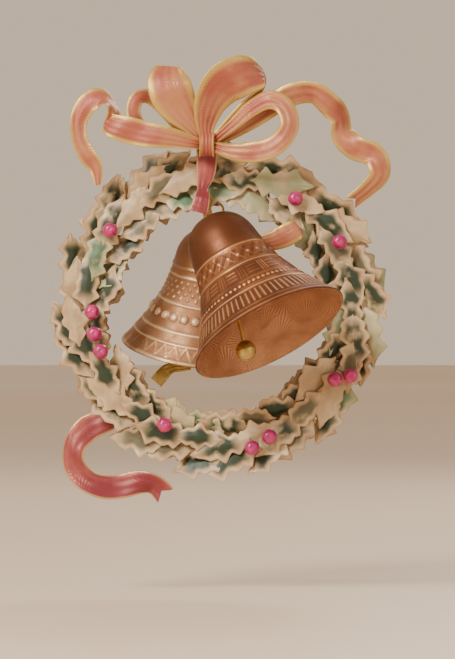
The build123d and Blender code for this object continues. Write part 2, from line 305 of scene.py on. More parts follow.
# ---- finishes -----------------------------------------------------------------------------------
@dataclass(frozen=True)
class MetalFinish:
    """A cast or drawn metal with mottled patina; with relief on, painted shade in its recesses and
    on its crown, and painted highlights on its raised ridges.
    """

    name: str
    body: Colour
    shade_and_patina: Colour
    ridge_highlight: Colour
    metallic: float
    smooth: float
    rough: float
    relief: bool = False
    rays: float = 0.0

    def build(self, grain: Tree, rays: Tree) -> Material:
        """Builds the material.

        Args:
            grain: The shared grain group.
            rays: The shared pressed-ray group.

        Returns:
            The material.
        """
        shader = Shader(self.name)
        skin = shader.group(grain, Mottle_Size=70.0, Grain_Size=1400.0, Depth=0.25)
        mottle = shader.span(skin.outputs["Mottle"], 0.3, 0.7, 0.0, 1.0)
        colour = shader.mix(mottle, self.shade_and_patina, self.body)
        if self.relief:
            # Painted shade in the recesses of the embossing and over the crown of the bell, and
            # painted highlights on its raised ridges.
            height = shader.attribute("relief")
            recess_shade = shader.span(height, 0.02, 0.35, 0.75, 0.0)
            ridge_highlight_mask = shader.span(height, 0.45, 0.9, 0.0, 0.7)
            crown = shader.span(shader.attribute("crown"), 0.0, 1.0, 0.0, 0.8)
            for mask, tint in ((recess_shade, self.shade_and_patina), (ridge_highlight_mask, self.ridge_highlight), (crown, self.shade_and_patina)):
                colour = shader.mix(mask, colour, tint)
        if self.rays:
            skin = shader.group(rays, Fan_Size=55.0, Lines=40.0, Depth=self.rays)
        return shader.finish({
            "Base Color": colour,
            "Metallic": self.metallic,
            "Roughness": shader.span(mottle, 0, 1, self.rough, self.smooth),
            "Normal": skin.outputs["Normal"],
        })


@dataclass(frozen=True)
class SatinFinish:
    """Satin ribbon: a rose middle, gilt selvedges, painted shade in its folds and fine rays pressed
    across it.
    """

    name: str
    middle: Colour
    shade: Colour
    selvedge: Colour
    selvedge_width: float = 0.14

    def build(self, grain: Tree, rays: Tree) -> Material:
        """Builds the material from the ribbon's own u, across, and its fold weights, which give
        painted shade in its folds.

        Args:
            grain: The shared grain group.
            rays: The shared pressed-ray group.

        Returns:
            The material.
        """
        shader = Shader(self.name)
        across, _ = shader.uv()
        skin = shader.group(grain, Mottle_Size=45.0, Grain_Size=2200.0, Depth=0.15)
        mottle = shader.span(skin.outputs["Mottle"], 0.35, 0.68, 0.0, 1.0)
        colour = shader.mix(mottle, self.shade, self.middle)
        # Painted shade in the pleats' valleys and where the ribbon is gathered in.
        fold = shader.span(shader.attribute("fold"), 0.0, 1.0, 0.0, 0.7)
        colour = shader.mix(fold, colour, self.shade)
        rim, fade = self.selvedge_width * 0.45, self.selvedge_width * 1.5
        left = shader.span(across, rim, fade, 1.0, 0.0)
        right = shader.span(across, 1 - fade, 1 - rim, 0.0, 1.0)
        edge = shader.math("MAXIMUM", left, right)
        fans = shader.group(rays, Fan_Size=70.0, Lines=34.0, Depth=0.14)
        return shader.finish({
            "Base Color": shader.mix(edge, colour, self.selvedge),
            "Metallic": shader.span(edge, 0, 1, 0.15, 0.6),
            "Roughness": shader.span(mottle, 0, 1, 0.46, 0.36),
            "Sheen Weight": 0.12,
            "Sheen Roughness": 0.4,
            "Normal": fans.outputs["Normal"],
        })


@dataclass(frozen=True)
class LeafFinish:
    """A cream holly leaf with a soft dark green heart, a brown margin and some pale green."""

    name: str
    cream: Colour
    heart: Colour
    margin: Colour
    mint: Colour

    def build(self, grain: Tree) -> Material:
        """Builds the material from the leaf's own u, across, v, along, and its painted tones.

        Args:
            grain: The shared grain group.

        Returns:
            The material.
        """
        shader = Shader(self.name)
        across, along = shader.uv()
        skin = shader.group(grain, Mottle_Size=85.0, Grain_Size=1500.0, Depth=0.3)
        mottle = skin.outputs["Mottle"]
        aside = shader.math("ABSOLUTE", shader.math("SUBTRACT", across, 0.5))
        heart = shader.times(
            shader.span(aside, 0.2, 0.42, 1.0, 0.0),
            shader.span(along, 0.1, 0.34, 0.0, 1.0),
            shader.span(along, 0.66, 0.94, 1.0, 0.0),
            shader.span(mottle, 0.28, 0.48, 0.3, 1.0),
            shader.attribute("tone"),
        )
        rim = shader.span(aside, 0.42, 0.5, 0.0, 0.6)
        mint = shader.times(shader.attribute("mint"), shader.span(mottle, 0.35, 0.6, 0.2, 0.9))
        colour = shader.mix(shader.span(mottle, 0.3, 0.7, 0.0, 0.55), self.cream, self.margin)
        for mask, tint in ((heart, self.heart), (rim, self.margin), (mint, self.mint)):
            colour = shader.mix(mask, colour, tint)
        return shader.finish({
            "Base Color": colour,
            "Roughness": shader.span(mottle, 0.3, 0.7, 0.42, 0.62),
            "Coat Weight": 0.15,
            "Coat Roughness": 0.3,
            "Normal": skin.outputs["Normal"],
        })


@dataclass(frozen=True)
class PaintFinish:
    """A lacquer, bark or painted wire with a little mottling and a clear coat."""

    name: str
    body: Colour
    shade: Colour
    rough: float
    coat: float

    def build(self, grain: Tree) -> Material:
        """Builds the material.

        Args:
            grain: The shared grain group.

        Returns:
            The material.
        """
        shader = Shader(self.name)
        skin = shader.group(grain, Mottle_Size=220.0, Grain_Size=1800.0, Depth=0.2)
        mottle = shader.span(skin.outputs["Mottle"], 0.35, 0.65, 0.0, 1.0)
        return shader.finish({
            "Base Color": shader.mix(mottle, self.shade, self.body),
            "Roughness": shader.span(mottle, 0, 1, self.rough + 0.12, self.rough),
            "Coat Weight": self.coat,
            "Normal": skin.outputs["Normal"],
        })


class Finishes:
    """All the finishes, built once."""

    def __init__(self) -> None:
        """Builds the shared groups and every material."""
        grain, rays = grain_group(), ray_group()
        # On the bells the darkest colour is both mottled patina and painted shade in the recesses
        # and on the crown, and the lightest is a painted highlight on the ridges.
        self.bronze = MetalFinish(
            "bell_bronze", body=(0.35, 0.135, 0.05), shade_and_patina=(0.12, 0.036, 0.012),
            ridge_highlight=(0.74, 0.45, 0.24), metallic=0.65, smooth=0.36, rough=0.52, relief=True,
        ).build(grain, rays)
        self.bronze_inside = MetalFinish(
            "bell_bronze_inside", body=(0.47, 0.215, 0.10), shade_and_patina=(0.40, 0.175, 0.08),
            ridge_highlight=(0.8, 0.56, 0.36), metallic=0.5, smooth=0.42, rough=0.55, rays=0.4,
        ).build(grain, rays)
        self.rose_bronze = MetalFinish(
            "bell_rose_bronze", body=(0.60, 0.36, 0.19), shade_and_patina=(0.27, 0.115, 0.045),
            ridge_highlight=(0.82, 0.58, 0.36), metallic=0.55, smooth=0.4, rough=0.55, relief=True,
        ).build(grain, rays)
        self.gilt = MetalFinish(
            "gilt_metal", body=(0.66, 0.49, 0.16), shade_and_patina=(0.36, 0.24, 0.07),
            ridge_highlight=(0.8, 0.65, 0.3), metallic=0.9, smooth=0.3, rough=0.46,
        ).build(grain, rays)
        self.satin = SatinFinish(
            "satin_ribbon", middle=(0.50, 0.205, 0.09), shade=(0.36, 0.08, 0.045),
            selvedge=(0.60, 0.39, 0.10),
        ).build(grain, rays)
        self.rose_satin = SatinFinish(
            "rose_satin_ribbon", middle=(0.40, 0.095, 0.07), shade=(0.23, 0.025, 0.035),
            selvedge=(0.60, 0.34, 0.14), selvedge_width=0.07,
        ).build(grain, rays)
        self.leaf = LeafFinish(
            "holly_leaf", cream=(0.66, 0.49, 0.28), heart=(0.014, 0.03, 0.010),
            margin=(0.34, 0.17, 0.065), mint=(0.20, 0.40, 0.20),
        ).build(grain)
        self.wood = PaintFinish(
            "twig_bark", body=(0.23, 0.15, 0.08), shade=(0.13, 0.09, 0.05), rough=0.6, coat=0.0
        ).build(grain)
        self.berry = PaintFinish(
            "berry", body=(0.56, 0.015, 0.15), shade=(0.30, 0.005, 0.10), rough=0.26, coat=0.4
        ).build(grain)
        self.wire = PaintFinish(
            "florist_wire", body=(0.17, 0.20, 0.10), shade=(0.10, 0.11, 0.05), rough=0.4, coat=0.2
        ).build(grain)


# ---- mesh helpers -------------------------------------------------------------------------------
def pick_only(*pieces: Piece) -> None:
    """Selects only the given pieces, with the first one active.

    Args:
        *pieces: What to select.
    """
    bpy.ops.object.select_all(action="DESELECT")
    for piece in pieces:
        piece.select_set(True)
    bpy.context.view_layer.objects.active = pieces[0]


def add(primitive: Callable[..., object], name: str, **sizes: object) -> Piece:
    """Adds a primitive with nothing else selected.

    Args:
        primitive: The operator that adds it.
        name: Its name.
        **sizes: The operator's own settings.

    Returns:
        The new piece.
    """
    bpy.ops.object.select_all(action="DESELECT")
    primitive(**sizes)
    piece = bpy.context.object
    piece.name = piece.data.name = name
    return piece


def new_grid(name: str, across: int, along: int) -> Piece:
    """Adds a flat grid, from -1 to 1 each way, with its own UV map.

    Args:
        name: The piece's name.
        across: Divisions along x.
        along: Divisions along y.

    Returns:
        The grid.
    """
    sizes = {"x_subdivisions": across, "y_subdivisions": along, "size": 2}
    return add(bpy.ops.mesh.primitive_grid_add, name, **sizes)


def close_seams(piece: Piece, gap: float = 1e-6) -> None:
    """Joins meeting edges and turns every face outwards.

    Args:
        piece: The piece.
        gap: Points closer than this become one, in metres.
    """
    pick_only(piece)
    bpy.ops.object.mode_set(mode="EDIT")
    bpy.ops.mesh.select_all(action="SELECT")
    bpy.ops.mesh.remove_doubles(threshold=gap)
    bpy.ops.mesh.normals_make_consistent(inside=False)
    bpy.ops.object.mode_set(mode="OBJECT")


def use_modifier(piece: Piece, kind: str, **settings: object) -> None:
    """Adds a modifier, sets it and applies it.

    Args:
        piece: The piece.
        kind: The modifier's type name.
        **settings: The modifier's own settings.
    """
    pick_only(piece)
    bpy.ops.object.modifier_add(type=kind)
    modifier = piece.modifiers[-1]
    for key, value in settings.items():
        setattr(modifier, key, value)
    bpy.ops.object.modifier_apply(modifier=modifier.name)


def smooth(piece: Piece, angle: float = 40.0) -> None:
    """Shades a piece smooth except at edges sharper than angle, in degrees."""
    pick_only(piece)
    bpy.ops.object.shade_smooth_by_angle(angle=math.radians(angle))


def paint(piece: Piece, name: str, values: Sequence[float]) -> None:
    """Stores one number for each vertex."""
    layer = piece.data.attributes.new(name, "FLOAT", "POINT")
    layer.data.foreach_set("value", list(values))


def clad(piece: Piece, *materials: Material) -> None:
    """Gives a piece its materials.

    Args:
        piece: The piece.
        *materials: Its materials, in the order of their slots.
    """
    piece.data.materials.clear()
    for material in materials:
        piece.data.materials.append(material)


def merge(name: str, pieces: Sequence[Piece]) -> Piece:
    """Joins pieces into one.

    Args:
        name: The joined piece's name.
        pieces: What to join, one or more.

    Returns:
        The joined piece.
    """
    pick_only(*pieces)
    if len(pieces) > 1:
        bpy.ops.object.join()
    joined = bpy.context.view_layer.objects.active
    joined.name = joined.data.name = name
    return joined


def fix_place(piece: Piece) -> None:
    """Puts an object's place, turn and size into its mesh."""
    pick_only(piece)
    bpy.ops.object.transform_apply(location=True, rotation=True, scale=True)


def settle(piece: Piece, body: str, nodes: Sequence[str] = ()) -> None:
    """Puts a finished piece on its body.

    Args:
        piece: The piece.
        body: The body that it rides on.
        nodes: The CAD nodes that it stands for.
    """
    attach(piece, body)
    if nodes:
        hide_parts(*nodes)
    LOG.info("%s rides on %s", piece.name, body)


def rod(start: Vector, end: Vector, thick: float, thin: float, sides: int) -> Piece:
    """Makes a tapering round rod with softened ends.

    Args:
        start: Middle of the thick end.
        end: Middle of the thin end.
        thick: Radius at start, in millimetres.
        thin: Radius at end, in millimetres.
        sides: Number of sides.

    Returns:
        The rod.
    """
    run = end - start
    made = add(
        bpy.ops.mesh.primitive_cone_add, "rod", vertices=sides, radius1=thick * MM,
        radius2=thin * MM, depth=run.length, location=(start + end) / 2,
        rotation=run.to_track_quat("Z", "Y").to_euler(),
    )
    fix_place(made)
    use_modifier(made, "BEVEL", width=thin * MM * 0.4, segments=2, limit_method="ANGLE")
    smooth(made)
    return made


def curve_point(points: Sequence[Sequence[float]], t: float) -> list[float]:
    """Reads a smooth curve through points of any number of values.

    Args:
        points: What the curve passes through.
        t: Place along it, from 0 to 1.

    Returns:
        The values there.
    """
    last = len(points) - 1
    reach = min(max(t, 0.0), 1.0) * last
    index = min(int(reach), last - 1)
    f = reach - index
    a, b, c, d = (points[min(max(index + k, 0), last)] for k in (-1, 0, 1, 2))
    return [
        0.5 * (2 * q + (r - p) * f + (2 * p - 5 * q + 4 * r - s) * f**2
               + (3 * q - p - 3 * r + s) * f**3)
        for p, q, r, s in zip(a, b, c, d)
    ]


def middle_of(node: str) -> Vector:
    """Gives the middle of a CAD node."""
    low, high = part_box(node)
    return (low + high) / 2


RING_WIRE = 3.2
RING_CENTRE = middle_of("wire_ring")
RING_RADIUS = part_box("wire_ring")[1].x - RING_CENTRE.x - RING_WIRE / 2 * MM


def place(right: float, up: float, depth: float) -> Vector:
    """Gives the point right of, above and in front of the ring's centre, in millimetres."""
    return RING_CENTRE + Vector((right, -depth, up)) * MM


def distance(point: Vector) -> Vector:
    """Gives a point's place right of, above and before the ring's centre, in millimetres."""
    away = (point - RING_CENTRE) / MM
    return Vector((away.x, away.z, -away.y))


# ---- ribbons ------------------------------------------------------------------------------------
@dataclass(frozen=True)
class Section:
    """A ribbon at one place along its run: its middle, its directions and its width."""

    middle: Vector
    across: Vector
    face: Vector
    width: float

    def towards(self, other: "Section", share: float) -> "Section":
        """Gives the section that lies a share of the way to another.

        Args:
            other: The section to go to.
            share: How far to go, from 0 to 1.

        Returns:
            The section between.
        """
        return Section(
            self.middle.lerp(other.middle, share), self.across.lerp(other.across, share),
            self.face.lerp(other.face, share), self.width + (other.width - self.width) * share,
        )


@dataclass
class Ribbon:
    """A length of satin ribbon that follows stations, each (right, up, depth, width, turn)."""

    name: str
    stations: list[Station]
    body: str = "wreath"
    nodes: tuple[str, ...] = ()
    hold: Hold = Hold.GATHERED
    rests_on: tuple[str, ...] = ("bow_knot_satin",)
    pleats: int = 3
    pleat_depth: float = 1.0
    ripple: float = 0.5
    ripples: float = 3.0
    crown: float = 0.8
    notch: float = 0.0
    notch_start: float = 0.7
    thickness: float = 0.5
    along: int = 90
    across: int = 14
    rose: bool = False

    def sections(self) -> list[Section]:
        """Works out the ribbon's sections, evenly spaced along its stations.

        Returns:
            One section more than the ribbon has divisions along.
        """
        rows = [curve_point(self.stations, i / self.along) for i in range(self.along + 1)]
        points = [place(*row[:3]) for row in rows]
        viewer = Vector((0, -1, 0))
        sections: list[Section] = []
        side = None
        for i, (point, row) in enumerate(zip(points, rows)):
            tangent = (points[min(i + 1, self.along)] - points[max(i - 1, 0)]).normalized()
            if side is None:
                side = tangent.cross(viewer)
                if side.length < 0.3:
                    side = Vector((1, 0, 0))
            side = (side - tangent * side.dot(tangent)).normalized()
            turned = Matrix.Rotation(math.radians(row[4]), 3, tangent) @ side
            sections.append(Section(point, turned, turned.cross(tangent), row[3] * MM))
        return sections

    def lift(self, u: float, v: float, gather: float) -> float:
        """Gives how far the satin stands off its run, in millimetres.

        Args:
            u: Place across, from -1 to 1.
            v: Place along, from 0 to 1.
            gather: How far it is drawn in there, from 0 to 1.

        Returns:
            The height of its pleats, ripples and crown together.
        """
        pleat = self.pleat_depth * math.cos(math.pi * self.pleats * u) * (0.12 + gather)
        ripple = self.ripple * math.sin(2 * math.pi * self.ripples * v + 1.3 * u)
        return pleat + (ripple + self.crown * (1 - u * u)) * (1 - gather)

    def build(self, finishes: Finishes) -> None:
        """Args:
            finishes: The shared finishes.
        """
        sections = self.sections()
        widest = max(section.width for section in sections)
        piece = new_grid(f"{self.name}_satin", self.across, self.along)
        fold_shade = []
        for vertex in piece.data.vertices:
            u, v = vertex.co.x, (vertex.co.y + 1) / 2
            if self.notch:
                drawn_in = max(0.0, v - self.notch_start) / (1 - self.notch_start)
                v -= self.notch * drawn_in * (1 - abs(u))
            low = min(int(v * self.along), self.along - 1)
            here = sections[low].towards(sections[low + 1], v * self.along - low)
            gather = 1 - here.width / widest
            lift = self.lift(u, v, gather) * MM
            vertex.co = here.middle + here.across * (u * here.width / 2) + here.face * lift
            # Weights for painted shade: darker in the pleats' valleys and where the ribbon is
            # gathered in.
            wave = math.cos(math.pi * self.pleats * u)
            fold_shade.append(0.5 - 0.5 * wave * (0.2 + gather) - 0.35 * (1 - gather))
        paint(piece, "fold", fold_shade)
        use_modifier(piece, "SOLIDIFY", thickness=self.thickness * MM, offset=0.0)
        use_modifier(piece, "SUBSURF", levels=1, render_levels=1)
        smooth(piece, 60)
        clad(piece, finishes.rose_satin if self.rose else finishes.satin)
        settle(piece, self.body, self.nodes)


@dataclass
class Bow:
    """The bow: its loops, bands and tails, and the wrap that gathers them."""

    knot_right: float = -7.7
    knot_up: float = 104.3
    knot_depth: float = 29.5
    wrap_width: float = 8.6
    wrap_height: float = 15.0
    wrap_thickness: float = 11.0

    def ribbons(self) -> list[Ribbon]:
        """Lists the bow's ribbons with their stations.

        Returns:
            The loops, the band and the tails, without the wrap.
        """
        return [
            Ribbon("bow_loop_upper_left", [
                (-8.5, 104, 29, 5, 0), (-15, 114, 32, 13, 0), (-24, 126, 36, 23, 0),
                (-30, 137, 37.5, 28, 0), (-32.5, 147, 35, 25, 0), (-31.5, 153.5, 30, 17, 0),
                (-29, 147, 25.5, 20, 0), (-22, 131, 24.5, 15, 0), (-10, 107, 27, 5, 0),
            ], nodes=("bow_loop_upper_left",), pleats=5, ripple=0.7),
            Ribbon("bow_loop_upper_right", [
                (-7, 104, 29, 5, 0), (-8.5, 116, 32, 13, 8), (-5, 130, 37, 23, 12),
                (3, 141, 40, 28, 10), (13, 146.5, 40, 27, 0), (22, 148, 37, 22, -20),
                (28, 147, 32, 17, -40), (28, 141, 28, 14, -20), (19, 131, 27, 13, 0),
                (4, 116, 26.5, 9, 0), (-6, 106, 27, 5, 0),
            ], nodes=("bow_loop_upper_right",), pleats=5, ripple=0.9),
            Ribbon("bow_loop_left", [
                (-9, 104, 31, 5, 0), (-18, 105.5, 34, 9, 0), (-30, 108, 36.5, 13, 0),
                (-44, 110, 37, 16, 0), (-57, 113, 36, 17, 0), (-67, 116, 34, 15, 0),
                (-71, 118.5, 31, 12, 0),
            ], nodes=("bow_loop_left",), pleats=4, ripple=0.6, hold=Hold.DRAPED),
            Ribbon("bow_small_loop_left", [
                (-9, 104, 26, 5, 0), (-22, 113, 24.5, 8, 0), (-33, 125, 24.5, 9, 0),
                (-43, 134, 26, 9, 10), (-51, 134, 29, 9, 25), (-54, 126, 31, 9, 30),
                (-51, 118, 32, 9, 20), (-42, 111, 31.5, 9, 10), (-25, 106, 30, 8, 0),
                (-10, 104, 29, 5, 0),
            ], pleats=2, pleat_depth=0.6, ripple=0.3),
            Ribbon("bow_loop_lower_right", [
                (-6, 104, 31, 5, 0), (6, 100, 34, 10, 0), (20, 99, 37, 13, 0),
                (33, 102, 39, 13.5, 0), (42, 110, 40, 12.5, 10), (44.5, 119.5, 40, 12, 15),
                (40, 129, 39, 12, 15), (31, 132, 37, 12, 10), (20, 126.5, 34, 11, 0),
                (8, 116, 31, 8, 0), (-5, 105.5, 29, 5, 0),
            ], nodes=("bow_loop_lower_right",), pleats=3, ripple=0.6, along=110),
            Ribbon("bow_tail_right", [
                (-5, 105, 27, 5, 0), (8, 112, 27, 9, 0), (22, 122, 27.5, 14, 0),
                (36, 131, 28, 15, 0), (49, 136.5, 30, 15, 12), (61, 136, 33, 15, 25),
                (70, 129, 32, 15, 0), (77, 121, 28, 15, -35), (78, 111, 26.5, 16, -10),
                (86, 102.5, 29, 16, 15), (98, 97, 31, 15, 20), (101.5, 86, 30, 14, 0),
                (94, 76, 27.5, 12, -15), (83, 67.5, 26, 11, 0),
            ], nodes=("bow_tail_right",), hold=Hold.HUNG, pleats=3, ripple=1.0, ripples=5,
                notch=0.03, along=150),
            Ribbon("bow_tail_left", [
                (-70, 115, 30.5, 8, 0), (-66.5, 122, 31, 11, 35), (-68.5, 130, 30, 14, 60),
                (-76, 133.5, 29, 15, 20), (-84, 129, 28.5, 14, 0), (-88.5, 119, 28.5, 11, -20),
                (-88, 108, 28, 10, -10), (-83.5, 98, 27.5, 12, 0), (-78, 90, 27, 11, 15),
                (-76, 79, 26.5, 4, 20),
            ], nodes=("bow_tail_left",), hold=Hold.HUNG, pleats=2, ripple=0.6, along=120),
        ]

    def wrap(self, finishes: Finishes) -> None:
        """Builds the ribbon wrapped round the gathered loops, with standing pleats.

        Args:
            finishes: The shared finishes.
        """
        piece = new_grid("bow_knot_satin", 20, 64)
        centre = place(self.knot_right, self.knot_up, self.knot_depth)
        for vertex in piece.data.vertices:
            u, angle = vertex.co.x, math.pi * vertex.co.y
            pinch = 1 - 0.10 * math.cos(math.pi * u / 2)
            pleat = 0.35 * math.cos(math.pi * 4 * u)
            back = (self.wrap_thickness / 2 * pinch + pleat) * math.cos(angle)
            rise = (self.wrap_height / 2 * pinch + pleat) * math.sin(angle)
            spread = u * self.wrap_width / 2 * (1 + 0.08 * math.sin(angle) ** 2)
            vertex.co = centre + Vector((spread, -back, rise)) * MM
        # An even painted shade over the whole wrap.
        paint(piece, "fold", [0.35] * len(piece.data.vertices))
        close_seams(piece)
        use_modifier(piece, "SOLIDIFY", thickness=0.9 * MM, offset=0.0)
        smooth(piece, 60)
        clad(piece, finishes.satin)
        settle(piece, "wreath", ["bow_knot"])

    def build(self, finishes: Finishes) -> None:
        """Builds the whole bow.

        Args:
            finishes: The shared finishes.
        """
        for ribbon in self.ribbons():
            ribbon.build(finishes)
        self.wrap(finishes)


@dataclass
class StrapRibbons:
    """The strap that carries the bells, its end over the front link, and the loose ribbons."""

    strap_right: float = -7.7
    depth: float = 22.0
    top: float = 107.5
    roll_radius: float = 2.9

    def roll(self, side: Side) -> Vector:
        """Gives the place of a rolled end, right, up and in front of the ring's centre."""
        return distance(JOINTS[f"{side.value}_link_swing"])

    def coil(self, side: Side, sign: int) -> list[Station]:
        """Lists the stations of a rolled end, from the strap round the link ring.

        Args:
            side: The bell whose ring it goes round.
            sign: 1 for a roll that starts towards the back, -1 for one towards the front.

        Returns:
            The stations.
        """
        centre = self.roll(side)
        stations = []
        for step in range(9):
            angle = math.pi + step * math.radians(40)
            out = math.cos(angle) * self.roll_radius * sign
            rise = math.sin(angle) * self.roll_radius
            stations.append((centre.x, centre.y + rise, centre.z + out, 6.8, 0))
        return stations

    def build(self, finishes: Finishes) -> None:
        """Builds the strap, its end, the tucked loop and the sash tail.

        Args:
            finishes: The shared finishes.
        """
        front, rear = self.roll(Side.FRONT), self.roll(Side.REAR)
        x, d, top = self.strap_right, self.depth, self.top
        front_run = [
            (x, top, d - 12, 13.5, 0), (x, top - 1.5, d - 4, 13.5, 0), (x, top - 6, d, 13.5, 0),
            (x, 96, d, 13, 0), (x - 0.5, 88, d, 12.5, 0), (x - 1.5, 82, d, 10, 0),
            (front.x, 78, d, 7.6, 0),
        ]
        rear_run = [
            (x, top, 0, 13.5, 0), (x, top, 12 - d, 13.5, 0), (x, top - 1.5, 4 - d, 13.5, 0),
            (x, top - 6, -d, 13.5, 0), (x + 0.5, 96, -d, 13, 0), (x + 1.5, 86, -d, 12, 0),
            (x + 3, 80, -d, 9.5, 0), (rear.x, 75, -d, 7.4, 0),
        ]
        Ribbon("hanging_strap", list(reversed(self.coil(Side.FRONT, 1))) + front_run[::-1]
               + rear_run + self.coil(Side.REAR, -1), nodes=("hanging_strap",), hold=Hold.HUNG,
               rests_on=("holly_sprig_01_leaves", "front_link_ring", "rear_link_ring"), pleats=3,
               pleat_depth=0.3, ripple=0.15, thickness=0.6, along=220, rose=True).build(finishes)
        self.end_flap(finishes)
        Ribbon("tucked_loop", [
            (-9, 71, 20.5, 6, 0), (-4, 52, 14, 6.5, 0), (12, 45.5, 13.8, 7, 0),
            (24, 43, 14.5, 8.5, 0), (33, 43.5, 17.5, 12, 0), (41, 46.5, 20.5, 14.5, 0),
            (47.5, 50, 21, 14, 0), (50, 51.5, 19, 13, 0), (47, 49, 17, 12, 0),
            (38, 44, 16, 10, 0),
        ], nodes=("tucked_loop",), hold=Hold.FOLDED, rests_on=("holly_sprig_03_leaves",),
            pleats=5, pleat_depth=0.5, ripple=0.3, along=110).build(finishes)
        Ribbon("sash_tail", [
            (-62, -66, 0, 12, 0), (-72, -70.5, 0.5, 15, 0), (-84, -76, 1, 17, 6),
            (-92, -86, 1.5, 15, 20), (-93, -98, 2, 14, 10), (-86, -108, 2, 15, -10),
            (-75, -113, 1.5, 16, -25), (-62, -112.5, 1, 16, -10), (-50, -110, 0.5, 15, 10),
            (-41, -112, 0, 15, 25), (-34, -119, 0, 14, 20),
        ], nodes=("sash_tail",), hold=Hold.HUNG, rests_on=("wire_ring",), pleats=3,
            ripple=1.0, ripples=4, notch=0.05, along=140, rose=True).build(finishes)

    def end_flap(self, finishes: Finishes) -> None:
        """Builds the strap's loose end, which rests over the front link ring and moves with it.

        Args:
            finishes: The shared finishes.
        """
        low, high = (distance(corner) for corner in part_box("strap_flap"))
        near, far, down, up = low.z, high.z, low.y, high.y
        middle = (low.x + high.x) / 2
        Ribbon("strap_flap", [
            (middle + 1.5, up - 0.4, far + 0.8, 8, 0), (middle + 1, up - 4, near - 2.6, 9.5, 0),
            (middle, up - 9, near - 0.8, 11, 0), (middle - 1.5, down + 1.0, near - 0.4, 12, 0),
        ], body="front_link", nodes=("strap_flap",), hold=Hold.HUNG,
            rests_on=("front_link_ring",), pleats=3, pleat_depth=0.4, ripple=0.15, along=36,
            rose=True).build(finishes)


